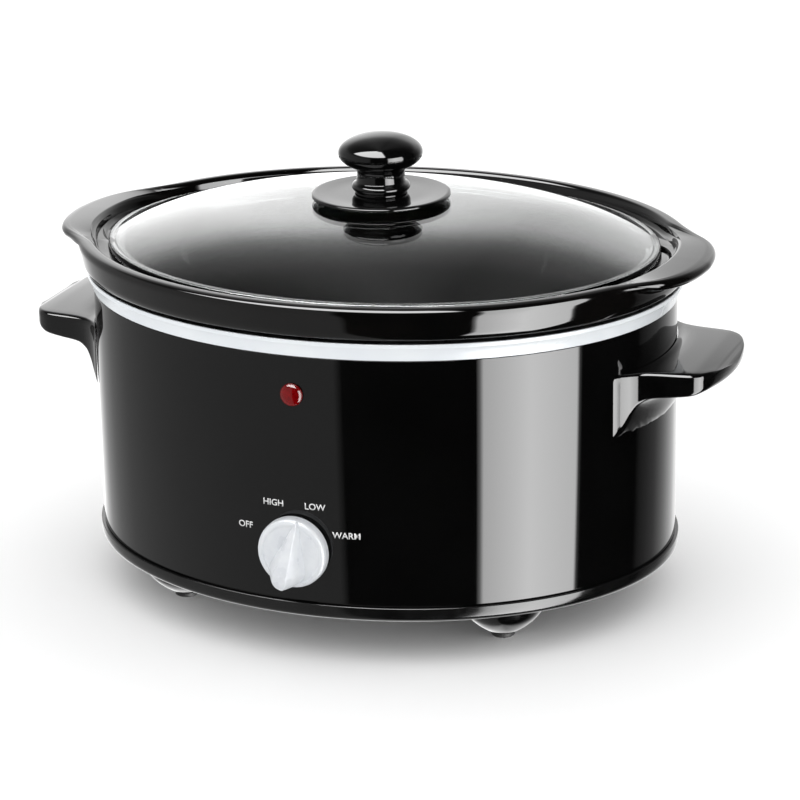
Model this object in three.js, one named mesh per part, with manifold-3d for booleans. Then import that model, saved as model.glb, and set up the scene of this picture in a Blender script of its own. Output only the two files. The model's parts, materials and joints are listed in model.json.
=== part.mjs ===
// Oval slow cooker: a heated base, a lift-out stoneware crock, a glass lid and a control knob.
// Millimetres, +Z up, front of the cooker towards -Y, standing on Z = 0.

import * as THREE from 'three';
import { mergeVertices } from 'three/addons/utils/BufferGeometryUtils.js';
import { ConvexGeometry } from 'three/addons/geometries/ConvexGeometry.js';
import Module from 'manifold-3d';

const wasm = await Module();
wasm.setup();

// ---- driving dimensions ----

const halfWidth = 150; // half the body's width, across the handles
const halfDepth = 123.5; // half the body's depth, front to back
const ovalSteps = 36;
const gap = 0.3; // clearance between pieces that rest on each other
const sheet = 0.9; // thickness of the liner and the heat shield

const floorZ = 20.3; // underside of the base plate
const seamZ = 29.6; // joint between base plate and outer shell
const wallTopZ = 153.6; // top edge of the outer shell
const bandTopZ = 161.4;
const flangeTopZ = 162.6;
const ledgeZ = 174.3; // ledge in the crock that carries the lid
const rimTopZ = 181;
const rimOut = 7.3; // how far the crock's rim stands out from the body
const tabReach = 170.4; // from the middle to the end of a lifting tab
const linerFloorZ = 46;

const lidEdgeOffset = -8.6;
const lidFlangeOffset = -12;
const lidFlangeTopZ = 178.4;
const glassThickness = 3.8;
const lidRise = 19.9; // height of the dome over its flange
const domePower = 3.2; // how full the dome's shoulder is
const knobBaseZ = 201.7;
const knobTopZ = 231.8;

const handleZ = 135.2; // top face of the handles
const handleReach = 184.5;
const handleScrewZ = 126;
const handleScrewY = 26;

const dialZ = 56.3;
const dialRadius = 17.5;
const dialBackY = -125.2;
const dialThickness = 6;
const gripRise = 11.3; // how far the grip stands in front of the knob's face
const dialRestTurn = THREE.MathUtils.degToRad(12);
const lampZ = 134.7;
const inletZ = 44;

const footX = 85;
const footY = 66;
const legEndZ = 2.8;

// The origin is under the middle of the whole cooker, whose front and back reach differ.
const frontReach = -dialBackY + dialThickness + gripRise;
const backReach = halfDepth + rimOut;
const centreShift = (frontReach - backReach) / 2;

// ---- materials ----

const material = (color, roughness, metalness = 0) =>
  new THREE.MeshStandardMaterial({ color, roughness, metalness });

const blackEnamel = material(0x0b0b0c, 0.08);
const blackGlaze = material(0x090909, 0.07);
const blackGloss = material(0x0a0a0a, 0.15);
const blackSatin = material(0x141414, 0.4);
const whiteTrim = material(0xe9ecef, 0.35);
const silverSatin = material(0xe4e7ea, 0.35);
const clearGlass = new THREE.MeshStandardMaterial({
  color: 0xdfe8ea,
  roughness: 0.03,
  metalness: 0,
  transparent: true,
  opacity: 0.35,
});
const redLens = material(0xa80a12, 0.12);
const plated = material(0xb4b6b8, 0.35, 1);
const aluminium = material(0xc4c6c8, 0.4, 1);
const brass = material(0xb08d45, 0.35, 1);
const mica = material(0xa89f8c, 0.7);
const blackRubber = material(0x0f0f0f, 0.75);
const greySilicone = material(0x2c2c2c, 0.6);
const neonGlass = material(0xe8c8b0, 0.1);
const whiteNylon = material(0xdedbd2, 0.5);
const redSleeve = material(0xa03026, 0.6);
const whiteSleeve = material(0xd8d5cc, 0.6);

// ---- shape helpers ----

// Half axes of the oval that lies `offset` outside the body.
const ovalAxes = (offset) => [halfWidth + offset, halfDepth + offset];

// Carries rings of [half axis X, half axis Y, Z] round the middle.
// A closed list joins its last ring to its first; an open one is capped over the middle.
function ringSolid(rings, closed) {
  const points = [];
  const faces = [];
  for (let i = 0; i < ovalSteps; i++) {
    const turn = (i / ovalSteps) * 2 * Math.PI;
    for (const [a, b, z] of rings) points.push(a * Math.cos(turn), b * Math.sin(turn), z);
  }
  const count = rings.length;
  const at = (i, j) => (i % ovalSteps) * count + (j % count);
  for (let i = 0; i < ovalSteps; i++) {
    for (let j = 0; j < (closed ? count : count - 1); j++) {
      faces.push(at(i, j), at(i + 1, j), at(i + 1, j + 1));
      faces.push(at(i, j), at(i + 1, j + 1), at(i, j + 1));
    }
  }
  if (!closed) {
    const bottom = points.length / 3;
    points.push(0, 0, rings[0][2], 0, 0, rings[count - 1][2]);
    for (let i = 0; i < ovalSteps; i++) {
      faces.push(bottom, at(i + 1, 0), at(i, 0));
      faces.push(bottom + 1, at(i, count - 1), at(i + 1, count - 1));
    }
  }
  const geometry = new THREE.BufferGeometry();
  geometry.setAttribute('position', new THREE.Float32BufferAttribute(points, 3));
  geometry.setIndex(faces);
  return geometry;
}

const toRings = (profile) => profile.map(([offset, z]) => [...ovalAxes(offset), z]);

// A ring round the body, from a counter-clockwise profile of [offset, Z].
const ovalRing = (profile) => ringSolid(toRings(profile), true);

// A pan, plate or pot over the middle, from a profile of [offset, Z] that runs
// from the underside outwards and back in over the top.
const ovalPan = (profile) => ringSolid(toRings(profile), false);

// A round piece about Z, from a counter-clockwise profile of [radius, Z].
function turned(profile, steps = 20) {
  const points = profile.map(([r, z]) => new THREE.Vector2(r, z));
  return new THREE.LatheGeometry(points, steps).rotateX(Math.PI / 2);
}

// A round piece with a hole through it: the profile closes on itself.
const turnedRing = (profile, steps) => turned([...profile, profile[0]], steps);

function outline(points) {
  const shape = new THREE.Shape();
  points.forEach(([x, y], i) => (i ? shape.lineTo(x, y) : shape.moveTo(x, y)));
  shape.closePath();
  return shape;
}

const raised = (shape, depth, curveSegments = 8) =>
  new THREE.ExtrudeGeometry(shape, { depth, bevelEnabled: false, curveSegments });

// A rod along `direction`.
function rod(radius, from, to, direction, steps = 12) {
  const geometry = turned([[0, from], [radius, from], [radius, to], [0, to]], steps);
  if (direction === 'x') geometry.rotateY(Math.PI / 2);
  if (direction === 'y') geometry.rotateX(-Math.PI / 2);
  return geometry;
}

function toSolid(geometry) {
  const plain = new THREE.BufferGeometry();
  plain.setAttribute('position', geometry.getAttribute('position'));
  plain.setIndex(geometry.getIndex());
  const merged = mergeVertices(plain, 1e-3);
  const corners = [...merged.getIndex().array];
  const triVerts = [];
  for (let i = 0; i < corners.length; i += 3) {
    const [a, b, c] = corners.slice(i, i + 3);
    if (a !== b && b !== c && c !== a) triVerts.push(a, b, c);
  }
  return new wasm.Manifold(new wasm.Mesh({
    numProp: 3,
    vertProperties: new Float32Array(merged.getAttribute('position').array),
    triVerts: new Uint32Array(triVerts),
  }));
}

function toGeometry(solid) {
  const mesh = solid.getMesh();
  const geometry = new THREE.BufferGeometry();
  geometry.setAttribute('position', new THREE.BufferAttribute(mesh.vertProperties, 3));
  geometry.setIndex(new THREE.BufferAttribute(mesh.triVerts, 1));
  return geometry;
}

const join = (first, ...others) =>
  toGeometry(others.reduce((solid, other) => solid.add(toSolid(other)), toSolid(first)));
const cut = (first, ...others) =>
  toGeometry(others.reduce((solid, other) => solid.subtract(toSolid(other)), toSolid(first)));
const common = (first, second) => toGeometry(toSolid(first).intersect(toSolid(second)));

function piece(name, geometry, finish, position = [0, 0, 0]) {
  const mesh = new THREE.Mesh(geometry, finish);
  mesh.name = name;
  mesh.position.set(...position);
  return mesh;
}

// ---- base: shell, band, liner, plate ----

function outerShell() {
  const wall = ovalRing([[-1, seamZ], [0, seamZ], [0, wallTopZ], [-1, wallTopZ]]);
  const holes = [
    rod(4.9, -halfDepth - 5, -halfDepth + 5, 'y').translate(0, 0, dialZ),
    rod(4.4, -halfDepth - 5, -halfDepth + 5, 'y').translate(0, 0, lampZ),
    rod(6.2, halfDepth - 5, halfDepth + 5, 'y').translate(0, 0, inletZ),
  ];
  for (const side of [-1, 1]) {
    for (const y of [-handleScrewY, handleScrewY]) {
      holes.push(rod(2.6, side * halfWidth - 6, side * halfWidth + 6, 'x')
        .translate(0, y, handleScrewZ));
    }
  }
  return cut(wall, ...holes);
}

// White band that caps the shell, flares outwards and carries the liner's flange.
function trimBand() {
  const bottomZ = wallTopZ + gap;
  return ovalRing([
    [-3.4, 148], [-1.4, 148], [-1.4, bottomZ], [0.3, bottomZ],
    [1.1, 157], [2.4, 160], [3.1, 160.9], [2.8, bandTopZ], [-3.4, bandTopZ],
  ]);
}

// Offset of the liner's outside at a height: its wall leans in towards the floor.
const linerTopZ = 160;
const linerOffset = (z) => -9.2 - (linerTopZ - z) * 0.104;

function innerLiner() {
  const wallFootZ = 66;
  const under = bandTopZ + gap;
  return ovalPan([
    [-36, linerFloorZ], [-27, 48], [-22, 53], [linerOffset(wallFootZ), wallFootZ],
    [linerOffset(linerTopZ), linerTopZ], [-8.2, under], [-1.2, under], [-1.2, flangeTopZ],
    [-9.4, flangeTopZ], [linerOffset(linerTopZ) - sheet, linerTopZ],
    [linerOffset(wallFootZ) - sheet, wallFootZ], [-22.8, 53.6], [-27.4, 48.9],
    [-36, linerFloorZ + sheet],
  ]);
}

// Heating element wrapped round the liner's wall.
function heatingBand() {
  const low = 76;
  const high = 118;
  const clearance = 0.4;
  const thickness = 2.2;
  const inside = (z) => linerOffset(z) + clearance;
  return ovalRing([
    [inside(low), low], [inside(low) + thickness, low],
    [inside(high) + thickness, high], [inside(high), high],
  ]);
}

function heatShield() {
  const low = 36.6;
  const dish = ovalPan([
    [-30, low], [-20, 38], [-17, 44], [-17.9, 44.3], [-20.6, 38.8], [-30, low + sheet],
  ]);
  return cut(dish, rod(3, low - 5, low + 5, 'z'));
}

// Moulded base: a shallow tray with a skirt, a rib inside the shell and four cone legs.
function basePlate() {
  const ribTopZ = 34;
  const top = seamZ - gap;
  const trayZ = 23.3;
  const tray = ovalPan([
    [-14, floorZ], [-4, 20.9], [-0.2, 22], [1.3, 23.8], [1.7, 26], [1.7, top],
    [-1.4, top], [-1.4, ribTopZ], [-3.4, ribTopZ], [-3.4, trayZ],
  ]);
  const leg = turned([
    [0, legEndZ], [6.2, legEndZ], [8.6, 3.8], [14, 7.6], [19, 12.8], [22.4, 21], [0, 21],
  ], 12);
  const legs = feet.map(([x, y]) => leg.clone().translate(x, y, 0));
  return cut(join(tray, ...legs), rod(3.2, floorZ - 5, trayZ + 5, 'z'));
}

const feet = [[-footX, -footY], [footX, -footY], [-footX, footY], [footX, footY]];
const footNames = ['foot_front_left', 'foot_front_right', 'foot_rear_left', 'foot_rear_right'];

const rubberFoot = () =>
  turned([[0, 0], [5.3, 0], [6, 0.7], [6, legEndZ - gap], [0, legEndZ - gap]], 16);

// ---- handles ----

// One solid moulding: a bowed grip over a coved bracket that follows the wall. This is the right one.
function handle() {
  const front = [
    [128, -56], [137.4, -51.5], [140, -48.5], [144, -45], [148, -42.5], [153, -40.3],
    [158, -38.8], [163, -38], [170, -37.2], [175, -35.2], [179, -30.5], [182, -22.5],
    [183.7, -14], [handleReach, -4],
  ];
  const back = front.map(([x, y]) => [x, -y]).reverse();
  const plan = raised(outline([...front, ...back]), 60).translate(0, 0, 90);
  const reach = handleReach - halfWidth;
  const section = ovalRing([
    [-8, 102.8], [0.8, 102.8], [2.1, 107], [3.6, 113], [6, 118], [10.5, 120.7], [20, 121.8],
    [29, 123.2], [32.5, 125], [reach + 0.1, 128.4], [reach, 131.6], [32.6, 134], [28, handleZ],
    [-8, handleZ],
  ]);
  const bodyGap = 0.5;
  const body = ovalPan([[bodyGap, 80], [bodyGap, 150]]);
  const screwHoles = [-handleScrewY, handleScrewY].map((y) =>
    rod(2.4, 140, 164, 'x').translate(0, y, handleScrewZ));
  return cut(common(plan, section), body, ...screwHoles);
}

// Pan-head screw along +Z with its head below zero.
const panScrew = (shank, length, head, headHeight) =>
  turned([
    [0, -headHeight], [head * 0.6, -headHeight], [head, -headHeight * 0.5], [head, 0],
    [shank, 0], [shank, length], [0, length],
  ], 12);

// ---- crock and lid ----

// One lifting tab at the +X end: it flares out of the rim and thins towards its bowed edge.
function tab() {
  const front = [
    [118, -80], [130, -68], [137, -62], [143.5, -56.2], [148.8, -50.8], [154, -45],
    [159.6, -38.5], [164.2, -30.8], [167.6, -21.5], [169.6, -11],
  ];
  const back = front.map(([x, y]) => [x, -y]).reverse();
  const bottomZ = 166;
  const plan = raised(outline([...front, [tabReach, 0], ...back]), rimTopZ - bottomZ)
    .translate(0, 0, bottomZ);
  const side = raised(outline([
    [118, bottomZ], [150, 168.5], [156, 170.8], [161, 172.2], [167, 174.2], [169.7, 175.8],
    [tabReach, 177.8],
    [169.8, 179.8], [167.6, rimTopZ], [118, rimTopZ],
  ]), 180).rotateX(Math.PI / 2).translate(0, 90, 0);
  return common(plan, side);
}

function stonewareCrock() {
  const bottomZ = 49.5;
  const pot = ovalPan([
    [-42, bottomZ], [-29, 51.6], [-23.2, 57], [-21.6, 66], [-11.4, 163.1], [-1.5, 163.1],
    [3.6, 164.6], [5.2, 167.4], [rimOut, 178.2], [6.2, 180.3], [4, rimTopZ], [0.8, rimTopZ],
    [-0.6, 179.6], [-1.8, 175.6], [-3.2, ledgeZ], [-17, ledgeZ], [-18.6, 171], [-27.6, 74],
    [-31.4, 63], [-46, 57.5],
  ]);
  const ringInside = ovalPan([[1.4, 160], [1.4, 190]]);
  const ears = [tab(), tab().rotateZ(Math.PI)].map((ear) => cut(ear, ringInside));
  return join(pot, ...ears);
}

// Height of the dome's upper face at a share of the way from the middle to the flange.
const domeZ = (share) => lidFlangeTopZ + lidRise * (1 - share ** domePower);

function glassLid() {
  const [a, b] = ovalAxes(lidFlangeOffset);
  const under = lidFlangeTopZ - glassThickness;
  const shares = [0.15, 0.3, 0.45, 0.6, 0.73, 0.85, 0.94];
  const domeRings = (drop) => shares.map((s) => [a * s, b * s, domeZ(s) - drop]);
  const edge = toRings([
    [lidFlangeOffset, under], [lidEdgeOffset - 1, under], [lidEdgeOffset, under + 1.2],
    [lidEdgeOffset, lidFlangeTopZ - 1.2], [lidEdgeOffset - 1, lidFlangeTopZ - 0.1],
    [lidFlangeOffset, lidFlangeTopZ],
  ]);
  const rings = [...domeRings(glassThickness), ...edge, ...domeRings(0).reverse()];
  return cut(ringSolid(rings, false), rod(3.4, 180, 205, 'z'));
}

// Black disc under the lid's knob that keeps the hand off the glass, on a boss that meets it.
const knobShield = () =>
  turnedRing([
    [3.2, domeZ(0) + 0.5], [18.9, domeZ(0) + 0.5], [19.5, 199.1], [32, 199.4], [35, 200.1],
    [34.9, 201.6], [33.4, 202], [24, 201.4], [3.2, 201.4],
  ], 24);

function lidKnob() {
  const capRadius = 21.2;
  const capHalfHeight = 9.6;
  const capMiddleZ = knobTopZ - capHalfHeight;
  const cap = [];
  for (let degrees = -40; degrees <= 65; degrees += 21) {
    const turn = THREE.MathUtils.degToRad(degrees);
    cap.push([capRadius * Math.cos(turn), capMiddleZ + capHalfHeight * Math.sin(turn)]);
  }
  const body = turned([
    [0, knobBaseZ], [13.2, knobBaseZ], [13, 202.8], [14.2, 203.6], [14.8, 205], [14.2, 206.4],
    [12.4, 207.6], [12, 210], [12, 214], ...cap, [0, knobTopZ],
  ], 20);
  return cut(body, rod(5.3, knobBaseZ - 1, 215, 'z'));
}

// ---- control knob and switch, modelled with +Z pointing out of the cooker's front ----

function controlKnob() {
  const cup = turned([
    [0, 4.4], [3.3, 4.4], [3.3, 1.2], [6, 1.2], [6, 3.4], [15.3, 3.4], [15.3, 0], [dialRadius, 0],
    [dialRadius, dialThickness - 0.8], [dialRadius - 0.8, dialThickness], [0, dialThickness],
  ], 28);
  const face = dialThickness;
  const gripCorners = [[-0.5, 0.5], [0.5, 0.5], [-0.9, -0.6], [0.9, -0.6]]
    .map(([x, rise]) => new THREE.Vector3(x, dialRadius, face + rise));
  const endY = -8; // middle of the grip's round end
  for (let degrees = -200; degrees <= 20; degrees += 20) {
    const turn = THREE.MathUtils.degToRad(degrees);
    for (const [radius, rise] of [[8.8, -0.6], [8.4, 4.5], [6.6, 8.8], [3.2, gripRise]]) {
      gripCorners.push(new THREE.Vector3(
        radius * Math.cos(turn),
        endY + radius * Math.sin(turn),
        face + rise,
      ));
    }
  }
  const grip = common(new ConvexGeometry(gripCorners), rod(dialRadius, 0, 40, 'z', 28));
  return join(cup, grip);
}

// Spring clip in the knob's socket that presses it onto the shaft.
const knobClip = () =>
  raised(outline([[6.4, -4], [7, -4], [7, 4], [6.4, 4]]), 2.6);

const dialDepth = dialBackY + halfDepth; // negative: the knob's back stands in front of the wall

function rotarySwitch() {
  const housing = new THREE.BoxGeometry(28, 26, 14).translate(0, 0, -9.3);
  const bushing = turned([[0, -3], [4, -3], [4, 2.6], [0, 2.6]], 20);
  return cut(join(housing, bushing), rod(3.4, -14, 5, 'z', 16));
}

const switchNut = () => turnedRing([[4.8, gap], [7.6, gap], [7.6, 2.2], [4.8, 2.2]], 6);

const switchShaft = () => turned([[0, -13.6], [3, -13.6], [3, 5.6], [0, 5.6]], 16);

// Lamp window, neon lamp and its retaining ring, about +Z pointing out of the front.
const indicatorLens = () =>
  turned([
    [0, 0.6], [2.9, -0.6], [2.9, -5.5], [4, -5.5], [4, gap], [5.6, gap], [5.6, 1.2],
    [4.4, 2.6], [2.4, 3.4], [0, 3.6],
  ], 16);
const neonLamp = () => turned([[0, -9.5], [2.4, -9.5], [2.4, -2.4], [1.2, -0.9], [0, -0.6]], 12);
const lensClip = () => turnedRing([[4.5, -2.3], [7, -2.3], [7, -1.6], [4.5, -1.6]], 12);

// Rubber bushing where the supply lead enters, about +Z pointing out of the back.
const cordInlet = () =>
  turnedRing([
    [3.6, -6], [5.9, -6], [5.9, 0.4], [8.6, 0.4], [8.6, 2.6], [6.4, 5.6], [3.6, 5.6],
  ], 16);

// ---- parts in the base's hollow ----

const tieBolt = () =>
  turned([
    [0, 13.6], [2.6, 13.6], [2.6, 43.4], [9, 44.6], [9, linerFloorZ - gap], [0, linerFloorZ - gap],
  ], 12);
const tieWasher = () => turnedRing([[3, 18.7], [8.5, 18.7], [8.5, 20], [3, 20]], 16);
const tieNut = () => turnedRing([[3.4, 14.6], [5.6, 14.6], [5.6, 18.4], [3.4, 18.4]], 6);

const thermalCutoff = () => rod(2.1, -6.5, 6.5, 'x', 12);

// Sprung saddle that holds the cut-off against the liner's floor.
function cutoffClip() {
  const shape = new THREE.Shape();
  const open = THREE.MathUtils.degToRad(50);
  shape.absarc(0, 0, 3.1, open - Math.PI / 2, 1.5 * Math.PI - open, false);
  shape.absarc(0, 0, 2.5, 1.5 * Math.PI - open, open - Math.PI / 2, true);
  return raised(shape, 5, 12).translate(0, 0, -2.5).rotateX(Math.PI / 2).rotateZ(Math.PI / 2);
}

// Stepped moulding with a raised barrel along its middle.
const terminalBlock = () =>
  raised(outline([
    [-7, 0], [7, 0], [7, 5], [4, 5], [4, 10], [-4, 10], [-4, 5], [-7, 5],
  ]), 34).rotateX(Math.PI / 2).rotateZ(Math.PI / 2).translate(-17, 0, 0);

const wireRadius = 1;

function wire(route) {
  const path = new THREE.CatmullRomCurve3(route.map((p) => new THREE.Vector3(...p)));
  const section = new THREE.Shape().absarc(0, 0, wireRadius, 0, 2 * Math.PI, false);
  const steps = 2 * (route.length - 1);
  return new THREE.ExtrudeGeometry(section, { steps, extrudePath: path, curveSegments: 3 });
}

// ---- assembly ----

const base = new THREE.Group();
base.add(
  piece('outer_shell', outerShell(), blackEnamel),
  piece('trim_band', trimBand(), whiteTrim),
  piece('inner_liner', innerLiner(), plated),
  piece('heating_band', heatingBand(), mica),
  piece('bottom_heat_shield', heatShield(), aluminium),
  piece('base_plate', basePlate(), blackSatin),
  piece('tie_bolt', tieBolt(), plated),
  piece('tie_washer', tieWasher(), plated),
  piece('tie_nut', tieNut(), plated),
  piece('thermal_cutoff', thermalCutoff(), aluminium, [52, 0, 42.4]),
  piece('cutoff_clip', cutoffClip(), plated, [52, 0, 42.4]),
  piece('terminal_block', terminalBlock(), whiteNylon, [0, 88, 23.6]),
);
feet.forEach(([x, y], i) => base.add(piece(footNames[i], rubberFoot(), blackRubber, [x, y, 0])));

for (const [side, name] of [[-1, 'left'], [1, 'right']]) {
  const end = new THREE.Group();
  end.rotation.z = side < 0 ? Math.PI : 0;
  end.add(piece(`${name}_handle`, handle(), blackGloss));
  for (const [y, place] of [[-1, 'front'], [1, 'rear']]) {
    const screw = piece(`${name}_handle_screw_${place}`, panScrew(2, 12, 3.8, 2), plated);
    const wallX = halfWidth * Math.sqrt(1 - (handleScrewY / halfDepth) ** 2);
    screw.position.set(wallX - 2.8, side * y * handleScrewY, handleScrewZ);
    screw.rotation.y = Math.PI / 2;
    end.add(screw);
  }
  base.add(end);
}

// Pieces on the front wall: their own +Z points out of the cooker.
const frontWall = new THREE.Group();
frontWall.position.set(0, -halfDepth, 0);
frontWall.rotation.x = Math.PI / 2;
frontWall.add(
  piece('rotary_switch', rotarySwitch(), whiteNylon, [0, dialZ, 0]),
  piece('switch_nut', switchNut(), plated, [0, dialZ, 0]),
  piece('indicator_lens', indicatorLens(), redLens, [0, lampZ, 0]),
  piece('indicator_lamp', neonLamp(), neonGlass, [0, lampZ, 0]),
  piece('lens_clip', lensClip(), plated, [0, lampZ, 0]),
);
base.add(frontWall);

const rearWall = new THREE.Group();
rearWall.position.set(0, halfDepth, 0);
rearWall.rotation.x = -Math.PI / 2;
rearWall.add(piece('cord_inlet', cordInlet(), blackRubber, [0, -inletZ, 0]));
base.add(rearWall);

base.add(
  piece('wire_supply_to_switch', wire([
    [-10, 79.9, 28], [-16, 60, 28], [-22, 0, 28], [-18, -70, 28], [-9, -102, 31], [-7, -112, 37.7],
    [-7, -114, dialZ - 13.6],
  ]), redSleeve),
  piece('wire_switch_to_heater', wire([
    [7, -114, dialZ - 13.6], [9, -111, 37.7], [30, -96, 31], [60, -40, 28], [62, 20, 28], [30, 66, 28],
    [10, 79.9, 28],
  ]), whiteSleeve),
  piece('wire_heater', wire([
    [12, 95.6, 28], [12, 104, 31], [12, 113, 44], [12, 115, 60], [12, 111.5, 69], [12, 108.4, 74.6],
  ]), whiteSleeve),
  piece('wire_lamp', wire([
    [0, -115.6, 131.5], [0, -117.2, 124], [0, -118.6, 104], [3, -118, 84], [6, -116, dialZ + 13.8],
  ]), redSleeve),
);

const dial = new THREE.Group();
dial.position.set(0, -halfDepth, dialZ);
dial.rotation.x = Math.PI / 2;
const turning = new THREE.Group();
turning.rotation.z = -dialRestTurn;
turning.add(
  piece('control_knob', controlKnob(), silverSatin, [0, 0, -dialDepth]),
  piece('knob_clip', knobClip(), plated, [0, 0, -dialDepth + 0.5]),
  piece('switch_shaft', switchShaft(), brass),
);
dial.add(turning);

const crock = piece('stoneware_crock', stonewareCrock(), blackGlaze);

const lid = new THREE.Group();
const screwHeadZ = 192.3;
lid.add(
  piece('glass_lid', glassLid(), clearGlass),
  piece('knob_heat_shield', knobShield(), blackGloss),
  piece('lid_knob', lidKnob(), blackGloss),
  piece('knob_insert', turnedRing([[2.9, 203], [5, 203], [5, 213], [2.9, 213]], 12), brass),
  piece('lid_washer', turnedRing([
    [3.2, screwHeadZ + gap], [7.8, screwHeadZ + gap], [8.6, 193.3], [8.6, 194.1], [3.2, 194.1],
  ], 24), greySilicone),
  piece('lid_knob_screw', panScrew(2.5, 18.5, 5, 2), plated, [0, 0, screwHeadZ]),
);

const cooker = new THREE.Group();
cooker.position.y = centreShift;
cooker.add(base, dial, crock, lid);

export default cooker;
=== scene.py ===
"""Looks of an oval slow cooker: a glossy black heated base, a stoneware crock and a glass lid."""

import json
import math

import bmesh
import bpy
from mathutils import Matrix, Vector


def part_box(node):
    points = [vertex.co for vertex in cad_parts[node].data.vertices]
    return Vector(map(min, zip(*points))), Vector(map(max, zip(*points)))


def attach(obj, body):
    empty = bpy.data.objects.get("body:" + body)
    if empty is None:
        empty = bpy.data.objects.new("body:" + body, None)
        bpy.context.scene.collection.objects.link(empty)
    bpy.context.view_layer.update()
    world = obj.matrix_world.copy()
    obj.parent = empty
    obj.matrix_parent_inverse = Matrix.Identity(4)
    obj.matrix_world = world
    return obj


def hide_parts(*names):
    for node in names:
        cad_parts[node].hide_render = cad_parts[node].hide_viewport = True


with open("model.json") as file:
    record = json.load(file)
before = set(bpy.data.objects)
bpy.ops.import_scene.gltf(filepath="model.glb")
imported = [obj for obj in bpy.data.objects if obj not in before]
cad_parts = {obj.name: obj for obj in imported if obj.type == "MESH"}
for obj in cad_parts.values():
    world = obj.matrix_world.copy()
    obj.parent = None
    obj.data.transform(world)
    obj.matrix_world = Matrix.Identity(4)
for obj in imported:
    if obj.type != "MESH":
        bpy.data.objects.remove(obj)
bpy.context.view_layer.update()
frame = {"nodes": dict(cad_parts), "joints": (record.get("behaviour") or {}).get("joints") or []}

MM = 0.001  # scene.py works in millimetres and makes its meshes in metres


def box(node):
    """Lowest and highest corner of a CAD node, in millimetres."""
    low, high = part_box(node)
    return low / MM, high / MM


# ---- sizes, read from the frame ----

shell_low, shell_high = box("outer_shell")
MIDDLE_Y = (shell_low.y + shell_high.y) / 2
HALF_WIDTH = (shell_high.x - shell_low.x) / 2
HALF_DEPTH = (shell_high.y - shell_low.y) / 2
SEAM_Z = shell_low.z
WALL_TOP_Z = shell_high.z
FLOOR_Z = SEAM_Z - 9.3  # underside of the base's tray
BAND_TOP_Z = box("trim_band")[1].z
FLANGE_TOP_Z = box("inner_liner")[1].z
LINER_FLOOR_Z = box("inner_liner")[0].z
CROCK_LOW_Z = box("stoneware_crock")[0].z
RIM_TOP_Z = box("stoneware_crock")[1].z
TAB_REACH = box("stoneware_crock")[1].x
RIM_OUT = box("stoneware_crock")[1].y - MIDDLE_Y - HALF_DEPTH
LEDGE_Z = RIM_TOP_Z - 6.7
LID_UNDER_Z = box("glass_lid")[0].z
LID_OFFSET = box("glass_lid")[1].x - HALF_WIDTH
HANDLE_TOP_Z = box("right_handle")[1].z
HANDLE_REACH = box("right_handle")[1].x
KNOB_LOW_Z = box("lid_knob")[0].z
KNOB_TOP_Z = box("lid_knob")[1].z
DIAL_PIVOT = Vector(frame["joints"][0]["pos_m"]) / MM
LENS_Z = (box("indicator_lens")[0].z + box("indicator_lens")[1].z) / 2

AROUND = 288  # points round the oval pieces
ROUND = 96  # points round the turned pieces
AXIS = 0.01  # radius that stands for the axis, where a turned piece ends in a point
SHARP = 32  # degrees between two faces from which their edge stays sharp
CORNER_SHARE = 0.48  # the most of an edge that one rounded corner takes


# ---- materials ----

def node_tree(name):
    material = bpy.data.materials.new(name)
    material.use_nodes = True
    tree = material.node_tree
    return material, tree, tree.nodes["Principled BSDF"]


def noise(tree, scale, detail=3.0, stretch=(1, 1, 1)):
    """Noise in the object's own coordinates; `scale` is in features per metre."""
    place = tree.nodes.new("ShaderNodeTexCoord")
    mapping = tree.nodes.new("ShaderNodeMapping")
    mapping.inputs["Scale"].default_value = stretch
    texture = tree.nodes.new("ShaderNodeTexNoise")
    texture.inputs["Scale"].default_value = scale
    texture.inputs["Detail"].default_value = detail
    tree.links.new(place.outputs["Object"], mapping.inputs["Vector"])
    tree.links.new(mapping.outputs["Vector"], texture.inputs["Vector"])
    return texture.outputs["Fac"]


def ramp(tree, factor, low, high):
    """Colour between low and high; noise rarely leaves the range between the two positions."""
    node = tree.nodes.new("ShaderNodeValToRGB")
    node.color_ramp.elements[0].position = 0.35
    node.color_ramp.elements[1].position = 0.65
    node.color_ramp.elements[0].color = (*low, 1)
    node.color_ramp.elements[1].color = (*high, 1)
    tree.links.new(factor, node.inputs["Fac"])
    return node.outputs["Color"]


def spread(tree, factor, low, high):
    """Value between low and high, from noise that rarely leaves the range named below."""
    node = tree.nodes.new("ShaderNodeMapRange")
    node.inputs["From Min"].default_value = 0.3
    node.inputs["From Max"].default_value = 0.7
    node.inputs["To Min"].default_value = low
    node.inputs["To Max"].default_value = high
    tree.links.new(factor, node.inputs["Value"])
    return node.outputs["Result"]


def relief(tree, shader, height, strength, depth_mm):
    """Bumps on the shader's surface, `depth_mm` deep."""
    node = tree.nodes.new("ShaderNodeBump")
    node.inputs["Strength"].default_value = strength
    node.inputs["Distance"].default_value = depth_mm * MM
    tree.links.new(height, node.inputs["Height"])
    tree.links.new(node.outputs["Normal"], shader.inputs["Normal"])


def surface(name, low, high, roughness, tone_scale, grain, stretch=(1, 1, 1), **sockets):
    """A finish whose colour and roughness wander a little, over a fine grain.

    low and high are the ends of its colour, roughness the ends of its roughness, tone_scale how
    many patches of tone there are in a metre, and grain (bumps in a metre, strength, depth in mm).
    """
    material, tree, shader = node_tree(name)
    tone = noise(tree, tone_scale, 4.0, stretch)
    tree.links.new(ramp(tree, tone, low, high), shader.inputs["Base Color"])
    tree.links.new(spread(tree, tone, *roughness), shader.inputs["Roughness"])
    grain_scale, strength, depth = grain
    relief(tree, shader, noise(tree, grain_scale, 2.0, stretch), strength, depth)
    for socket, value in sockets.items():
        shader.inputs[socket.replace("_", " ")].default_value = value
    return material


def grey(value):
    return (value, value, value)


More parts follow.
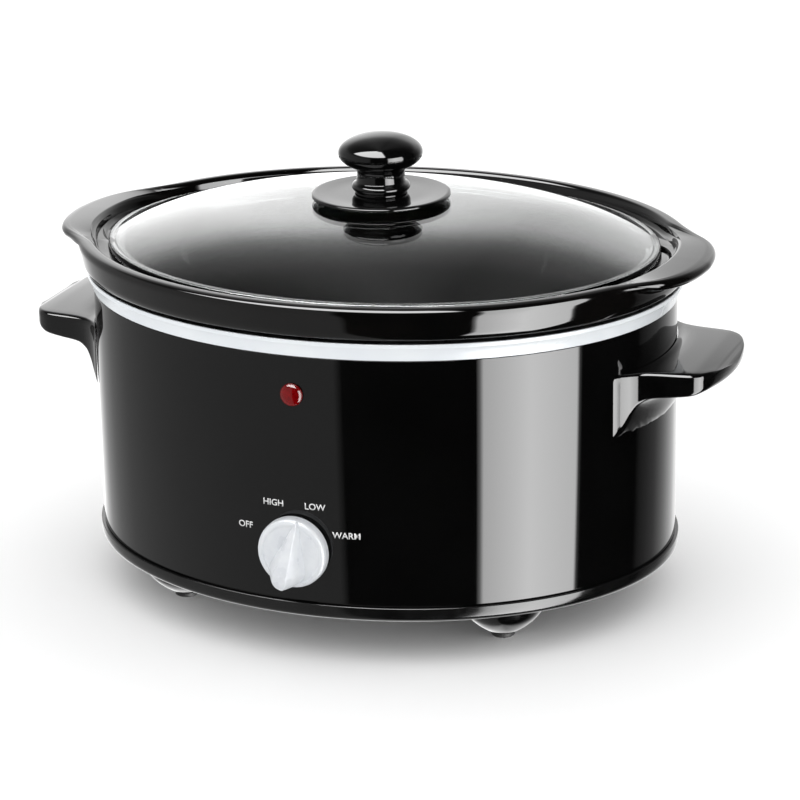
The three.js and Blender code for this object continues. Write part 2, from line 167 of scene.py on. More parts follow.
ENAMEL = surface("shell_enamel", grey(0.0012), grey(0.0022), (0.015, 0.04), 12, (350, 0.05, 0.003))
GLAZE = surface("crock_glaze", grey(0.0016), (0.0032, 0.0029, 0.0027), (0.02, 0.06), 30, (120, 0.06, 0.01))
GLOSS = surface("gloss_moulding", grey(0.0015), grey(0.003), (0.04, 0.09), 60, (900, 0.06, 0.004))
SATIN = surface("satin_moulding", grey(0.003), grey(0.006), (0.1, 0.18), 90, (2200, 0.12, 0.01))
TRIM = surface("trim_white", (0.70, 0.73, 0.76), (0.74, 0.77, 0.79), (0.18, 0.28), 35, (500, 0.08, 0.01))
DIAL = surface("dial_silver", (0.60, 0.62, 0.65), (0.66, 0.68, 0.70), (0.25, 0.36), 150, (2600, 0.2, 0.01))
PRINT = surface("dial_print", grey(0.62), grey(0.7), (0.4, 0.5), 300, (3000, 0.1, 0.01))
RUBBER = surface("foot_rubber", grey(0.012), grey(0.02), (0.55, 0.7), 200, (1500, 0.4, 0.04))
SILICONE = surface("washer_silicone", grey(0.014), grey(0.022), (0.4, 0.5), 120, (1200, 0.2, 0.02))
LINER = surface("liner_metal", grey(0.42), grey(0.52), (0.25, 0.4), 160, (900, 0.2, 0.02),
                stretch=(1, 1, 0.08), Metallic=1.0)
SHEET = surface("shield_metal", grey(0.6), grey(0.7), (0.3, 0.45), 200, (700, 0.25, 0.03),
                stretch=(0.1, 1, 1), Metallic=1.0)
STEEL = surface("fastener_steel", grey(0.5), grey(0.62), (0.22, 0.35), 400, (1500, 0.15, 0.01),
                Metallic=1.0)
BRASS = surface("brass", (0.55, 0.38, 0.13), (0.64, 0.46, 0.18), (0.25, 0.38), 300,
                (1500, 0.2, 0.01), Metallic=1.0)
NYLON = surface("nylon_white", (0.62, 0.60, 0.54), (0.7, 0.68, 0.62), (0.4, 0.55), 150,
                (1800, 0.2, 0.02))
RED_SLEEVE = surface("sleeve_red", (0.3, 0.02, 0.015), (0.42, 0.04, 0.03), (0.5, 0.65), 900,
                     (2400, 0.5, 0.06))
WHITE_SLEEVE = surface("sleeve_white", (0.6, 0.58, 0.54), (0.7, 0.68, 0.63), (0.5, 0.65), 900,
                       (2400, 0.5, 0.06))
MICA = surface("heater_wrap", (0.30, 0.26, 0.20), (0.46, 0.42, 0.34), (0.5, 0.7), 260,
               (600, 0.5, 0.08))
NEON = surface("lamp_glass", (0.8, 0.6, 0.5), (0.9, 0.7, 0.6), (0.03, 0.08), 300, (900, 0.05, 0.01),
               Transmission_Weight=0.8, IOR=1.47)
GLASS = surface("lid_glass", (0.95, 0.975, 0.97), (0.98, 0.99, 0.985), (0.0, 0.004), 8, (25, 0.03, 0.01),
                Transmission_Weight=1.0, IOR=1.5)
LENS = surface("lens_red", (0.13, 0.0004, 0.001), (0.2, 0.001, 0.002), (0.04, 0.09), 500, (260, 0.2, 0.04),
               Transmission_Weight=0.35, IOR=1.5, Emission_Color=(0.6, 0.0, 0.005, 1),
               Emission_Strength=0.06)


# ---- shapes ----

def rounded(profile, turns=5):
    """Bridges each corner that carries a reach by a curve; the number of points never changes."""
    points = []
    for i, (x, z, *reach) in enumerate(profile):
        corner = Vector((x, z))
        if not reach:
            points.append(corner)
            continue
        before = Vector(profile[i - 1][:2]) - corner
        after = Vector(profile[(i + 1) % len(profile)][:2]) - corner
        start = corner + before.normalized() * min(reach[0], before.length * CORNER_SHARE)
        end = corner + after.normalized() * min(reach[0], after.length * CORNER_SHARE)
        for k in range(turns + 1):
            s = k / turns
            points.append(start * (1 - s) ** 2 + corner * 2 * s * (1 - s) + end * s * s)
    return points


def oval(offset, z):
    """Loop round the body, `offset` outside its wall."""
    loop = []
    for i in range(AROUND):
        turn = 2 * math.pi * i / AROUND
        x = (HALF_WIDTH + offset) * math.cos(turn)
        y = (HALF_DEPTH + offset) * math.sin(turn)
        loop.append((x, MIDDLE_Y + y, z))
    return loop


def circle(radius, z, centre):
    cx, cy = centre
    loop = []
    for i in range(ROUND):
        turn = 2 * math.pi * i / ROUND
        loop.append((cx + radius * math.cos(turn), cy + radius * math.sin(turn), z))
    return loop


def loft(loops, closed):
    """Skins loops of equal length; an open stack ends in a fan over each end loop's middle."""
    count = len(loops[0])
    points = [p for loop in loops for p in loop]
    faces = []
    for j in range(len(loops) if closed else len(loops) - 1):
        k = (j + 1) % len(loops)
        for i in range(count):
            n = (i + 1) % count
            faces.append((j * count + i, j * count + n, k * count + n, k * count + i))
    if not closed:
        for j in (0, len(loops) - 1):
            middle = sum((Vector(p) for p in loops[j]), Vector()) / count
            points.append(tuple(middle))
            for i in range(count):
                faces.append((j * count + i, j * count + (i + 1) % count, len(points) - 1))
    return points, faces


def oval_ring(profile):
    """Ring round the body; profile is (offset outside the wall, height, reach of the corner)."""
    return loft([oval(d, z) for d, z in rounded(profile)], True)


def oval_pan(profile):
    """Like oval_ring, but closed over the middle: the first and last entries carry no reach."""
    return loft([oval(d, z) for d, z in rounded(profile)], False)


def turned(profile, centre=(0, MIDDLE_Y), closed=False):
    """Piece turned about an upright axis; profile is (radius, height, reach of the corner)."""
    return loft([circle(r, z, centre) for r, z in rounded(profile)], closed)


def mesh_object(name, shape, material, sharp_degrees=SHARP):
    points, faces = shape
    mesh = bpy.data.meshes.new(name)
    mesh.from_pydata([Vector(p) * MM for p in points], [], faces)
    mesh.materials.append(material)
    thing = bpy.data.objects.new(name, mesh)
    bpy.context.scene.collection.objects.link(thing)
    shade(thing, sharp_degrees)
    return thing


def shade(thing, sharp_degrees=SHARP):
    """Turns all faces outwards and shades them smooth, with sharp edges kept."""
    work = bmesh.new()
    work.from_mesh(thing.data)
    bmesh.ops.remove_doubles(work, verts=work.verts, dist=1e-7)
    bmesh.ops.recalc_face_normals(work, faces=work.faces)
    for face in work.faces:
        face.smooth = True
    for edge in work.edges:
        edge.smooth = edge.calc_face_angle(0) < math.radians(sharp_degrees)
    work.to_mesh(thing.data)
    work.free()


def combine(thing, other, operation):
    """Boolean of two closed meshes; `other` is used up."""
    modifier = thing.modifiers.new(operation, "BOOLEAN")
    modifier.operation = operation
    modifier.object = other
    modifier.solver = "EXACT"
    bpy.context.view_layer.update()
    result = bpy.data.meshes.new_from_object(
        thing.evaluated_get(bpy.context.evaluated_depsgraph_get()))
    thing.modifiers.clear()
    thing.data = result
    bpy.data.objects.remove(other)
    shade(thing)


def place(thing, body, slot, *nodes):
    """Puts a finished piece on its body, in place of the CAD nodes it stands for."""
    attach(thing, body)
    if nodes:
        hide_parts(*nodes)


# ---- base ----

def make_shell():
    sheet = 1
    wall = oval_ring([
        (-sheet, SEAM_Z), (0, SEAM_Z, 0.4), (0, WALL_TOP_Z, 0.3), (-sheet, WALL_TOP_Z),
    ])
    place(mesh_object("shell_wall", wall, ENAMEL), "base", "shell_enamel", "outer_shell")


def make_band():
    """White band that stands on the wall, flares outwards and ends in a lip round the liner's flange."""
    foot = WALL_TOP_Z + 0.3
    skirt, skirt_end = -1.4, 148
    inside, lip = -3.4, 2.1
    band = oval_ring([
        (inside, skirt_end), (skirt, skirt_end), (skirt, foot), (0.3, foot, 0.2), (1.1, 157, 3),
        (2.4, 160, 1.4), (3.1, 160.9, 0.4), (2.8, FLANGE_TOP_Z, 0.3), (lip, FLANGE_TOP_Z),
        (lip, BAND_TOP_Z), (inside, BAND_TOP_Z),
    ])
    place(mesh_object("white_trim_band", band, TRIM), "base", "trim_white", "trim_band")


def make_liner():
    """Sheet-metal well whose wall leans outwards up to a flat flange."""
    sheet = 0.9
    lean = 0.104
    wall_foot, wall_top = 66, 160
    top_out = -9.2
    foot_out = top_out - (wall_top - wall_foot) * lean
    flange_out = 2
    liner = oval_pan([
        (-36, LINER_FLOOR_Z), (-27, 48, 3), (-22, 53, 4), (foot_out, wall_foot, 5),
        (top_out, wall_top, 1.4), (-8.2, FLANGE_TOP_Z - sheet, 0.8), (flange_out, FLANGE_TOP_Z - sheet),
        (flange_out, FLANGE_TOP_Z), (-9.4, FLANGE_TOP_Z, 0.8), (top_out - sheet, wall_top, 1.4),
        (foot_out - sheet, wall_foot, 5), (-22.8, 53.6, 4), (-27.4, 48.9, 3),
        (-36, LINER_FLOOR_Z + sheet),
    ])
    place(mesh_object("heating_well", liner, LINER), "base", "liner_metal", "inner_liner")


def make_base():
    """Tray with a skirt outside the wall and a rib inside it, on four cone legs with rubber pads."""
    top = SEAM_Z - 0.3
    tray_top, rib_top, leg_root = 23.3, 34, 21
    tray = oval_pan([
        (-40, FLOOR_Z), (-14, FLOOR_Z, 2), (-4, 20.9, 2), (-0.2, 22, 1), (1.3, 23.8, 1), (1.7, 26, 1),
        (1.7, top, 0.5), (-1.4, top), (-1.4, rib_top, 0.4), (-3.4, rib_top, 0.4), (-3.4, tray_top),
        (-40, tray_top),
    ])
    base = mesh_object("moulded_base", tray, SATIN)
    for name in ("foot_front_left", "foot_front_right", "foot_rear_left", "foot_rear_right"):
        low, high = box(name)
        centre = ((low.x + high.x) / 2, (low.y + high.y) / 2)
        leg_end = high.z + 0.3
        leg = turned([
            (AXIS, leg_end), (6.2, leg_end, 0.6), (8.6, leg_end + 1, 1.2), (14, 7.6, 3), (19, 12.8, 3),
            (22.4, leg_root), (AXIS, leg_root),
        ], centre)
        combine(base, mesh_object("leg", leg, SATIN), "UNION")
        pad = turned([(AXIS, 0), (5.3, 0, 0.4), (6, 0.7, 0.3), (6, high.z, 0.4), (AXIS, high.z)], centre)
        place(mesh_object(name.replace("foot", "rubber_pad"), pad, RUBBER), "base", "foot_rubber", name)
    place(base, "base", "base_black", "base_plate")


def handle_half_width(x):
    """Half the grip's width in plan: it is waisted near the wall, and ends in a rounded bow."""
    along = [(126, 58), (137.4, 51.3), (140, 48.3), (144, 44.8), (148, 42.5), (153, 41), (158, 40.2),
             (163, 39.7), (170, 38.7), (175, 36.2), (179, 31), (182, 22.6), (183.6, 14), (184.3, 6),
             (184.5, 0)]
    return curve_at(along, x)


def curve_at(knots, x):
    """Smooth curve through (x, value) knots, by monotone cubic interpolation."""
    xs = [k[0] for k in knots]
    ys = [k[1] for k in knots]
    slopes = [(ys[i + 1] - ys[i]) / (xs[i + 1] - xs[i]) for i in range(len(xs) - 1)]
    tangents = [slopes[0]]
    for before, after in zip(slopes, slopes[1:]):
        tangents.append(0 if before * after <= 0 else 2 * before * after / (before + after))
    tangents.append(slopes[-1])
    x = min(max(x, xs[0]), xs[-1])
    i = max(k for k in range(len(xs) - 1) if xs[k] <= x)
    width = xs[i + 1] - xs[i]
    s = (x - xs[i]) / width
    return ((2 * s ** 3 - 3 * s * s + 1) * ys[i] + (s ** 3 - 2 * s * s + s) * width * tangents[i]
            + (3 * s * s - 2 * s ** 3) * ys[i + 1] + (s ** 3 - s * s) * width * tangents[i + 1])


def handle_under(x, y):
    """Height of the underside: a cove that starts at the wall and follows it round."""
    wall = HALF_WIDTH * math.sqrt(1 - (y / HALF_DEPTH) ** 2)
    # Distance outside the wall, and the underside's height there.
    cove = [(-70, 102.8), (0.5, 102.8), (1.2, 104.4), (2.1, 107.2), (3.6, 113), (6, 118), (10.5, 120.8),
            (20, 121.9), (29, 123.3), (32.5, 125.2), (34, 127.2), (34.5, 129.4)]
    return curve_at(cove, x - wall)


def handle_top(x):
    return curve_at([(126, HANDLE_TOP_Z), (170, HANDLE_TOP_Z), (178, HANDLE_TOP_Z - 0.2),
                     (182.4, HANDLE_TOP_Z - 1.3), (184, HANDLE_TOP_Z - 3), (184.5, HANDLE_TOP_Z - 5)], x)


def handle_loop(x):
    """The grip's outline across Y: coved below, barely crowned on top, with softened edges."""
    turns, flat = 7, 18  # points on each corner and on each side
    under_edge, top_edge = 1.6, 3
    most_tall, most_wide = 0.46, 0.9  # shares of the section that an edge's rounding may take
    half, high = handle_half_width(x), handle_top(x)
    low = handle_under(x, half)
    tall = high - low
    crown = min(1.2, 0.2 * tall)
    corners = [(-half, low), (half, low), (half, high - crown), (-half, high - crown)]
    edges = (under_edge, under_edge, top_edge, top_edge)
    loop = []
    for i, corner in enumerate(corners):
        reach = min(edges[i], most_tall * tall, most_wide * half)
        onward = min(edges[(i + 1) % 4], most_tall * tall, most_wide * half)
        corner = Vector(corner)
        following = Vector(corners[(i + 1) % 4])
        before = (Vector(corners[i - 1]) - corner).normalized() * reach
        after = (following - corner).normalized()
        for k in range(turns + 1):
            s = k / turns
            loop.append((corner + before) * (1 - s) ** 2 + corner * 2 * s * (1 - s)
                        + (corner + after * reach) * s * s)
        first, last = corner + after * reach, following - after * onward
        loop += [first.lerp(last, k / flat) for k in range(1, flat)]
    for point in loop:
        lift = (point.y - low) / tall
        point.y += (1 - lift) * (handle_under(x, point.x) - low)
        point.y += max(lift, 0) ** 3 * crown * (1 - (point.x / half) ** 2)
    return loop


def make_handles():
    """One grip, cut to the wall it bears on, and its mirrored copy."""
    root, stations = 128, 90
    end = HANDLE_REACH - 0.03  # a hair short, so that the last loop keeps some width
    crowding = 1.2  # spaces the stations closer together at the grip's end
    loops = []
    for i in range(stations):
        s = i / (stations - 1)
        x = root + (end - root) * math.sin(s * math.pi / 2) ** crowding
        loops.append([(-x, MIDDLE_Y + p.x, p.y) for p in handle_loop(x)])
    left = mesh_object("left_grip", loft(loops, False), GLOSS)
    clear, low, high = 0.5, 80, 150
    cutter = oval_pan([(-60, low), (clear, low), (clear, high), (-60, high)])
    body = mesh_object("body", cutter, GLOSS)
    combine(left, body, "DIFFERENCE")
    mirrored = left.data.copy()
    mirrored.transform(Matrix.Scale(-1, 4, (1, 0, 0)))
    mirrored.flip_normals()
    right = bpy.data.objects.new("right_grip", mirrored)
    bpy.context.scene.collection.objects.link(right)
    shade(right)
    place(left, "base", "handle_black", "left_handle")
    place(right, "base", "handle_black", "right_handle")


def face_front(points, height, turn=0):
    """Moves points of a front piece's own frame (x right, y up, z out) to the front wall."""
    c, s = math.cos(turn), math.sin(turn)
    front = MIDDLE_Y - HALF_DEPTH
    return [(x * c - y * s, front - z, height + x * s + y * c) for x, y, z in points]


def make_lens():
    """Low red dome, with a sleeve behind it that passes through the wall."""
    sleeve_end = -5.5
    points, faces = turned([
        (AXIS, 0.6), (2.9, -0.6), (2.9, sleeve_end), (4, sleeve_end), (4, 0.3), (5.6, 0.3, 0.2),
        (5.6, 1.3, 0.5), (4.7, 2.3, 0.8), (2.6, 3.2, 1.6), (AXIS, 3.5),
    ], (0, 0))
    lens = (face_front(points, LENS_Z), faces)
    place(mesh_object("lamp_window", lens, LENS), "base", "lens_red", "indicator_lens")


# ---- dial ----

DIAL_TURN = -math.radians(12)
DIAL_RADIUS = 17.5
DIAL_BACK = 1.7
DIAL_FACE = DIAL_BACK + 6
DIAL_EDGE = DIAL_FACE - 1.2


def grip_shape():
    """Drop-shaped grip: a sharp low pointer that rises to a high, round end."""
    rise, low = 11.2, 0.7  # heights over the face, at the round end and at the tip
    tip, stations = 0.45, 60  # half the tip's width
    end_y, end_radius = -8, 8.75  # middle and radius of the round end
    drop = 5.5  # how far the round end falls off
    top, bottom = DIAL_RADIUS - 0.4, end_y - end_radius + 0.03
    tangent = end_y + end_radius ** 2 / (top - end_y)
    shoulder = math.sqrt(end_radius ** 2 - (tangent - end_y) ** 2)
    loops = []
    for i in range(stations + 1):
        y = top + (bottom - top) * math.sin(i / stations * math.pi / 2)
        if y > tangent:
            half = tip + (shoulder - tip) * (top - y) / (top - tangent)
        else:
            half = math.sqrt(max(end_radius ** 2 - (y - end_y) ** 2, 0.01))
        climb = min((top - y) / (top - end_y), 1)
        fall = max((end_y - y) / end_radius, 0)
        height = low + (rise - low) * climb ** 0.95 - drop * (1 - math.sqrt(max(1 - fall ** 2, 0)))
        crest = min(0.4 + 3 * climb, 0.45 * half)
        side = (half * 0.9, DIAL_FACE + height * 0.4)
        profile = [(-half, DIAL_EDGE), (half, DIAL_EDGE), (*side, 3),
                   (crest, DIAL_FACE + height, 0.45), (-crest, DIAL_FACE + height - 0.4, 1.4),
                   (-side[0], side[1], 3)]
        loops.append([(x, y, z) for x, z in rounded(profile, 6)])
    return loft(loops, False)


def make_dial():
    """Cup with a bore for the shaft in its hub, under the grip."""
    bore, bore_end = 3.3, DIAL_BACK + 4.4
    hub, hub_end = 6, DIAL_BACK - 0.5
    hollow, hollow_end = 15.3, DIAL_BACK + 3.4
    dish = DIAL_FACE - 0.5
    cup = turned([
        (AXIS, bore_end), (bore, bore_end), (bore, hub_end), (hub, hub_end), (hub, hollow_end),
        (hollow, hollow_end), (hollow, DIAL_BACK), (DIAL_RADIUS, DIAL_BACK, 0.3),
        (DIAL_RADIUS, DIAL_EDGE, 1.6), (DIAL_RADIUS - 1.5, DIAL_FACE, 1.1), (14.6, DIAL_FACE, 0.4),
        (14, dish, 0.5), (AXIS, dish),
    ], (0, 0))
    dial = mesh_object("dial_knob", cup, DIAL)
    combine(dial, mesh_object("grip", grip_shape(), DIAL), "UNION")
    for vertex in dial.data.vertices:
        moved = face_front([tuple(vertex.co / MM)], DIAL_PIVOT.z, DIAL_TURN)[0]
        vertex.co = Vector(moved) * MM
    shade(dial)
    place(dial, "dial", "dial_silver", "control_knob")


def make_labels():
    """Four words round the dial, laid on the curved wall."""
    letter_size, stroke, thick, gap = 4.5, 0.06, 0.06, 0.02
    # Word, distance right of the dial's axis, and height over it.
    words = [("OFF", -26.8, 8.9), ("HIGH", -11.4, 22.4), ("LOW", 10, 22.3), ("WARM", 25.4, 8.8)]
    for word, x, rise in words:
        z = DIAL_PIVOT.z + rise
        curve = bpy.data.curves.new("label_" + word.lower(), "FONT")
        curve.body = word
        curve.align_x, curve.align_y = "CENTER", "CENTER"
        curve.size = letter_size * MM
        curve.offset = stroke * MM
        curve.resolution_u = 6
        text = bpy.data.objects.new("text", curve)
        bpy.context.scene.collection.objects.link(text)
        bpy.context.view_layer.update()
        mesh = bpy.data.meshes.new_from_object(text.evaluated_get(bpy.context.evaluated_depsgraph_get()))
        bpy.data.objects.remove(text)
        work = bmesh.new()
        work.from_mesh(mesh)
        bmesh.ops.triangulate(work, faces=work.faces)
        extruded = bmesh.ops.extrude_face_region(work, geom=work.faces[:])
        for vertex in extruded["geom"]:
            if isinstance(vertex, bmesh.types.BMVert):
                vertex.co.z += thick * MM
        for vertex in work.verts:
            across = x + vertex.co.x / MM
            wall = HALF_DEPTH * math.sqrt(1 - (across / HALF_WIDTH) ** 2)
            out = gap + vertex.co.z / MM
            vertex.co = Vector((across, MIDDLE_Y - wall - out, z + vertex.co.y / MM)) * MM
        bmesh.ops.recalc_face_normals(work, faces=work.faces)
        work.to_mesh(mesh)
        work.free()
        mesh.materials.clear()
        mesh.materials.append(PRINT)
        label = bpy.data.objects.new("label_" + word.lower(), mesh)
        bpy.context.scene.collection.objects.link(label)
        place(label, "base", "nylon_white")


# ---- crock and lid ----

# Degrees away from the long axis, and the tab's reach from the middle there.
TAB_OUTLINE = [(0, TAB_REACH), (3.7, 169.9), (7.3, 168.9), (10.6, 167), (13.6, 164.1), (16.3, 160.3),
               (18.8, 157.1), (21.4, 154), (24.3, 150.4), (30, 143), (90, 100)]


def tab_push(angle):
    """How far the lifting tabs stand out of the rim in a direction from the middle."""
    fold = min(abs(angle), abs(math.pi - abs(angle)))
    reach = curve_at(TAB_OUTLINE, math.degrees(fold))
    a, b = HALF_WIDTH + RIM_OUT, HALF_DEPTH + RIM_OUT
    rim = a * b / math.hypot(b * math.cos(fold), a * math.sin(fold))
    soft, trim = 1.2, 0.04  # softness of the tab's start, and what it adds elsewhere
    proud = reach - rim
    return max(0, 0.5 * (proud + math.hypot(proud, soft)) - trim)


def make_crock():
    """Oval pot whose section passes from the plain rim's to the lifting tab's round the long ends."""
    full = TAB_REACH - HALF_WIDTH - RIM_OUT
    end = RIM_OUT + full
    under = 163.1  # height of the rim's flat underside
    rim = [(-1.5, under), (3.6, 164.6, 1.6), (5.2, 167.4, 1.6), (5.9, 171), (6.6, 174.6),
           (RIM_OUT, 178.2, 1.6), (6.2, 180.3, 0.9), (4, RIM_TOP_Z, 1.4)]
    tab = [(-1.5, under), (3.4, 164.6, 1.6), (4.6, 167.2, 1.6), (5.8, 171.2, 1.6), (end - 3, 173.7, 2),
           (end, 176.7, 2), (end - 0.9, 179.6, 1.3), (end - 4, 180.6, 2)]
    before = [(-42, CROCK_LOW_Z), (-34, 50.4, 3), (-27.4, 51.8, 3), (-23.2, 57, 4), (-21.6, 66, 5),
              (-11.4, under, 0.6)]
    after = [(0.8, RIM_TOP_Z, 1.3), (-0.6, 179.6, 1), (-1.8, 175.6, 0.9), (-3.2, LEDGE_Z, 1),
             (-17, LEDGE_Z, 1.2), (-18.6, 171, 1.8), (-27.6, 74, 9), (-31.4, 63, 8), (-46, 57.5)]
    lower, upper = rounded(before + rim + after), rounded(before + tab + after)
    loops = []
    for (rim_out, rim_z), (tab_out, tab_z) in zip(lower, upper):
        loop = []
        for i in range(AROUND):
            turn = 2 * math.pi * i / AROUND
            x = (HALF_WIDTH + rim_out) * math.cos(turn)
            y = (HALF_DEPTH + rim_out) * math.sin(turn)
            share = tab_push(math.atan2(y, x)) / full
            stretch = 1 + share * (tab_out - rim_out) / math.hypot(x, y)
            loop.append((x * stretch, MIDDLE_Y + y * stretch, rim_z + share * (tab_z - rim_z)))
        loops.append(loop)
    crock = mesh_object("glazed_crock", loft(loops, False), GLAZE)
    place(crock, "crock", "crock_glaze", "stoneware_crock")


DOME_POWER = 2.8  # how full the dome's shoulder is


def dome_loop(share, inner, crown, flange):
    """Loop on the dome, at a share of the way from its middle to the flange's inner edge."""
    a, b = HALF_WIDTH + inner, HALF_DEPTH + inner
    z = flange + crown * (1 - share ** DOME_POWER)
    loop = []
    for i in range(AROUND):
        turn = 2 * math.pi * i / AROUND
        loop.append((a * share * math.cos(turn), MIDDLE_Y + b * share * math.sin(turn), z))
    return loop


def make_lid():
    """Dome of even thickness inside a flat flange with a rounded edge."""
    thick, inner, steps = 3.8, -12, 44
    edge_round, edge_turns, sharp = 1.8, 8, 60
    flange = LID_UNDER_Z + thick
    crown = box("glass_lid")[1].z - flange
    shares = [math.cos(k / steps * math.pi / 2) for k in range(1, steps)]
    edge = rounded([(inner, LID_UNDER_Z), (LID_OFFSET, LID_UNDER_Z, edge_round),
                    (LID_OFFSET, flange, edge_round), (inner, flange)], edge_turns)
    loops = [dome_loop(s, inner, crown, LID_UNDER_Z) for s in reversed(shares)]
    loops += [oval(d, z) for d, z in edge]
    loops += [dome_loop(s, inner, crown, flange) for s in shares]
    glass = mesh_object("domed_glass", loft(loops, False), GLASS, sharp)
    place(glass, "lid", "lid_glass", "glass_lid")


def make_lid_fittings():
    """The disc between knob and glass, the turned knob, and the washer under the glass."""
    hole = 3.2
    under, disc_top = box("knob_heat_shield")[0].z, 201.4
    shield = turned([
        (hole, under), (18.9, under, 0.2), (19.5, 199.1, 0.3), (19.6, 199.3, 0.2), (32, 199.4, 2),
        (35, 200.1, 0.8), (34.9, 201.6, 0.7), (33.4, 202, 0.7), (24, disc_top, 4), (hole, disc_top),
    ], closed=True)
    place(mesh_object("shield_disc", shield, GLOSS), "lid", "lid_black", "knob_heat_shield")
    cap_radius, cap_half_height = 21.2, 9.6
    middle = KNOB_TOP_Z - cap_half_height
    turns = [math.radians(d) for d in range(-50, 88, 4)]
    cap = [(cap_radius * math.cos(t), middle + cap_half_height * math.sin(t)) for t in turns]
    bore, bore_end, sharp = 5.3, 215, 40
    knob = turned([
        (AXIS, bore_end), (bore, bore_end), (bore, KNOB_LOW_Z), (13.2, KNOB_LOW_Z, 0.3),
        (13, 202.8, 0.4), (14.2, 203.6, 0.7), (14.8, 205, 0.9), (14.2, 206.4, 0.7), (12.4, 207.6, 0.8),
        (12, 210, 2), (12, 213.2, 1.2), *cap, (AXIS, KNOB_TOP_Z),
    ])
    place(mesh_object("turned_knob", knob, GLOSS, sharp), "lid", "lid_black", "lid_knob")
    low, high = box("lid_washer")
    washer = turned([
        (hole, low.z), (7.8, low.z, 0.3), (8.6, low.z + 0.7, 0.3), (8.6, high.z, 0.3), (hole, high.z),
    ], closed=True)
    place(mesh_object("soft_washer", washer, SILICONE), "lid", "washer_silicone", "lid_washer")


# ---- CAD nodes that stay as they are ----

CARRIED = {
    "heating_band": MICA, "bottom_heat_shield": SHEET, "tie_bolt": STEEL, "tie_washer": STEEL,
    "tie_nut": STEEL, "thermal_cutoff": SHEET, "cutoff_clip": STEEL, "terminal_block": NYLON,
    "rotary_switch": NYLON, "switch_nut": STEEL, "indicator_lamp": NEON, "lens_clip": STEEL,
    "cord_inlet": RUBBER, "wire_supply_to_switch": RED_SLEEVE, "wire_switch_to_heater": WHITE_SLEEVE,
    "wire_heater": WHITE_SLEEVE, "wire_lamp": RED_SLEEVE, "knob_clip": STEEL, "switch_shaft": BRASS,
    "knob_insert": BRASS, "lid_knob_screw": STEEL, "left_handle_screw_front": STEEL,
    "left_handle_screw_rear": STEEL, "right_handle_screw_front": STEEL, "right_handle_screw_rear": STEEL,
}


def finish_carried():
    """Gives each CAD node that stays its finish."""
    for name, material in CARRIED.items():
        data = frame["nodes"][name].data
        data.materials.clear()
        data.materials.append(material)


# ---- studio ----

def make_camera():
    azimuth, elevation, roll = (math.radians(v) for v in (20.605, 18.68, -1.007))
    distance, aim_right, aim_up, aim_z = 1631.85, 7.64, -23.24, 121.73
    back = Vector((math.sin(azimuth) * math.cos(elevation), -math.cos(azimuth) * math.cos(elevation),
                   math.sin(elevation)))
    level = Vector((math.cos(azimuth), math.sin(azimuth), 0))
    rise = back.cross(level)
    right = level * math.cos(roll) + rise * math.sin(roll)
    up = rise * math.cos(roll) - level * math.sin(roll)
    data = bpy.data.cameras.new("camera")
    data.lens, data.sensor_width = 144.6, 36
    data.shift_x, data.shift_y = 0.0011, -0.0131
    camera = bpy.data.objects.new("camera", data)
    target = Vector((0, MIDDLE_Y, aim_z))
    where = (target + right * aim_right + up * aim_up + back * distance) * MM
    turn = Matrix((right, up, back)).transposed()
    camera.matrix_world = Matrix.LocRotScale(where, turn.to_quaternion(), None)
    bpy.context.scene.collection.objects.link(camera)
    bpy.context.scene.camera = camera


def make_floor():
    """Matt white floor that catches the shadow but isn't mirrored in the gloss."""
    mesh = bpy.data.meshes.new("floor")
    size = 6  # metres from its middle to each side
    mesh.from_pydata([(-size, -size, 0), (size, -size, 0), (size, size, 0), (-size, size, 0)], [],
                     [(0, 1, 2, 3)])
    material, tree, shader = node_tree("floor_white")
    tree.links.new(ramp(tree, noise(tree, 3), grey(0.93), grey(0.95)), shader.inputs["Base Color"])
    shader.inputs["Roughness"].default_value = 0.9
    shader.inputs["Specular IOR Level"].default_value = 0.0
    mesh.materials.append(material)
    floor = bpy.data.objects.new("floor", mesh)
    bpy.context.scene.collection.objects.link(floor)
    floor.visible_glossy = False


def banded(tree, value, stops, low, high, strongest):
    """Brightness along `value`, from (place, level) stops, scaled so that `strongest` is 1."""
    share = tree.nodes.new("ShaderNodeMapRange")
    share.inputs["From Min"].default_value = math.radians(low)
    share.inputs["From Max"].default_value = math.radians(high)
    tree.links.new(value, share.inputs["Value"])
    bands = tree.nodes.new("ShaderNodeValToRGB")
    tree.links.new(share.outputs["Result"], bands.inputs["Fac"])
    places = [(degrees - low) / (high - low) for degrees, level in stops]
    elements = bands.color_ramp.elements
    elements[0].position = places[0]
    elements[1].position = places[-1]
    for where in places[1:-1]:
        elements.new(where)
    for element, (degrees, level) in zip(elements, stops):
        element.color = (*grey(level / strongest), 1)
    return bands.outputs["Color"]


def reckon(tree, operation, first, second=None):
    """Result of one Math node; first and second are numbers or sockets."""
    node = tree.nodes.new("ShaderNodeMath")
    node.operation = operation
    for socket, value in zip(node.inputs, (first, second)):
        if isinstance(value, (int, float)):
            socket.default_value = value
        elif value is not None:
            tree.links.new(value, socket)
    return node.outputs[0]


ROOM_LIGHT, WINDOW_LIGHT, SOFTBOX_LIGHT, PLAIN_LIGHT = 2.0, 12.8, 16, 1.3


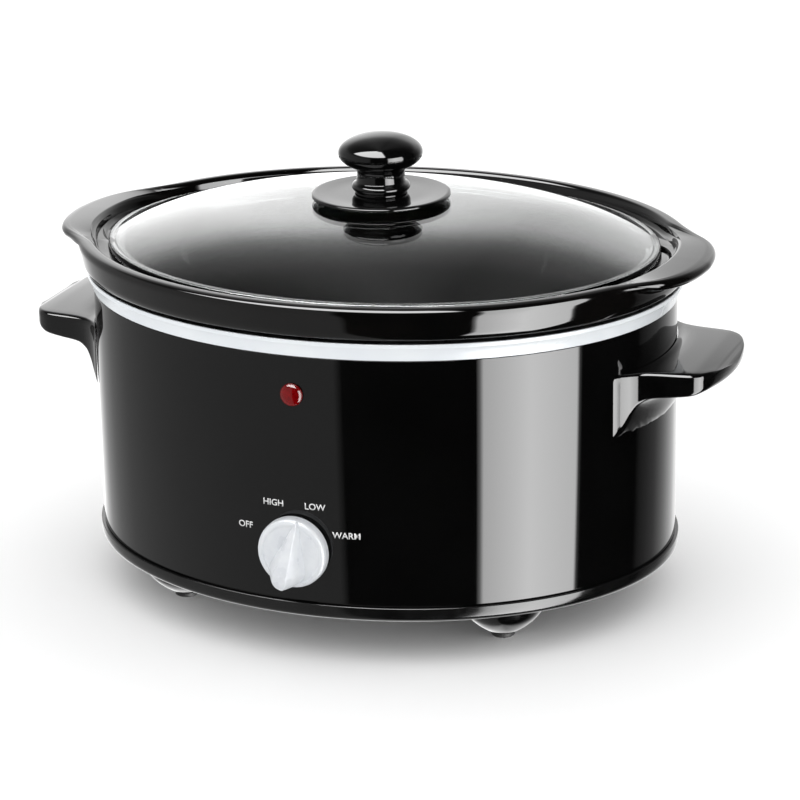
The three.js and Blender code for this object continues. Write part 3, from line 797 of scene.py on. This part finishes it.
def make_world():
    """White room: soft light all round, with a tall window, a softbox and dark flags for the gloss.

    The gloss sees the room, the window and the softbox; every other ray sees plain white. Azimuths
    are in degrees from the front towards +X, and elevations in degrees from the horizon.
    """
    world = bpy.data.worlds.new("studio")
    bpy.context.scene.world = world
    world.use_nodes = True
    tree = world.node_tree
    tree.nodes.clear()
    out = tree.nodes.new("ShaderNodeOutputWorld")
    place_node = tree.nodes.new("ShaderNodeTexCoord")
    split = tree.nodes.new("ShaderNodeSeparateXYZ")
    tree.links.new(place_node.outputs["Generated"], split.inputs["Vector"])
    x, y, z = split.outputs
    azimuth = reckon(tree, "ARCTAN2", x, reckon(tree, "MULTIPLY", y, -1))
    elevation = reckon(tree, "ARCSINE", z)
    room = banded(tree, azimuth, [
        (-180, 1.7), (-168, 1.35), (-160, 2.0), (-152, 2.4), (-143, 2.0), (-126, 1.0), (-114, 0.7),
        (-100, 0.56), (-30, 0.48), (-8, 0.46), (-6, 0.0), (123, 0.0), (127, 0.12), (143, 0.34),
        (153, 0.75), (163, 1.2), (180, 1.7)], -180, 180, 2.4)
    fade = banded(tree, elevation, [
        (-90, 0.8), (-40, 1), (22, 1), (26, 0.9), (30, 0.66), (34, 0.38), (40, 0.24), (50, 0.15),
        (90, 0.15)], -90, 90, 1)
    window = banded(tree, azimuth, [
        (-180, 0), (40.5, 0), (41.5, 8.6), (61, 12.5), (83, 9.6), (84.5, 0), (180, 0)], -180, 180, 12.5)
    window_height = banded(tree, elevation, [
        (-90, 0), (-62, 0), (-58, 1), (24, 1), (26, 0), (90, 0)], -90, 90, 1)
    softbox = banded(tree, azimuth, [
        (-180, 0), (-78, 0), (-74, 1), (34, 1), (37, 0), (180, 0)], -180, 180, 1)
    softbox_height = banded(tree, elevation, [
        (-90, 0), (38, 0), (42, 1), (84, 1), (87, 0), (90, 0)], -90, 90, 1)
    shine = reckon(tree, "MULTIPLY", reckon(tree, "MULTIPLY", room, fade), ROOM_LIGHT)
    pane = reckon(tree, "MULTIPLY", reckon(tree, "MULTIPLY", window, window_height), WINDOW_LIGHT)
    box_light = reckon(tree, "MULTIPLY", reckon(tree, "MULTIPLY", softbox, softbox_height), SOFTBOX_LIGHT)
    total = reckon(tree, "ADD", reckon(tree, "ADD", shine, pane), box_light)
    glossy = tree.nodes.new("ShaderNodeBackground")
    glossy.inputs["Color"].default_value = (1, 1, 1, 1)
    tree.links.new(total, glossy.inputs["Strength"])
    plain = tree.nodes.new("ShaderNodeBackground")
    plain.inputs["Color"].default_value = (1, 1, 1, 1)
    plain.inputs["Strength"].default_value = PLAIN_LIGHT
    path = tree.nodes.new("ShaderNodeLightPath")
    mix = tree.nodes.new("ShaderNodeMixShader")
    tree.links.new(path.outputs["Is Glossy Ray"], mix.inputs[0])
    tree.links.new(plain.outputs[0], mix.inputs[1])
    tree.links.new(glossy.outputs[0], mix.inputs[2])
    tree.links.new(mix.outputs[0], out.inputs["Surface"])


make_shell()
make_band()
make_liner()
make_base()
make_handles()
make_lens()
make_dial()
make_labels()
make_crock()
make_lid()
make_lid_fittings()
finish_carried()
make_camera()
make_floor()
make_world()
bpy.context.scene.view_settings.view_transform = "Standard"
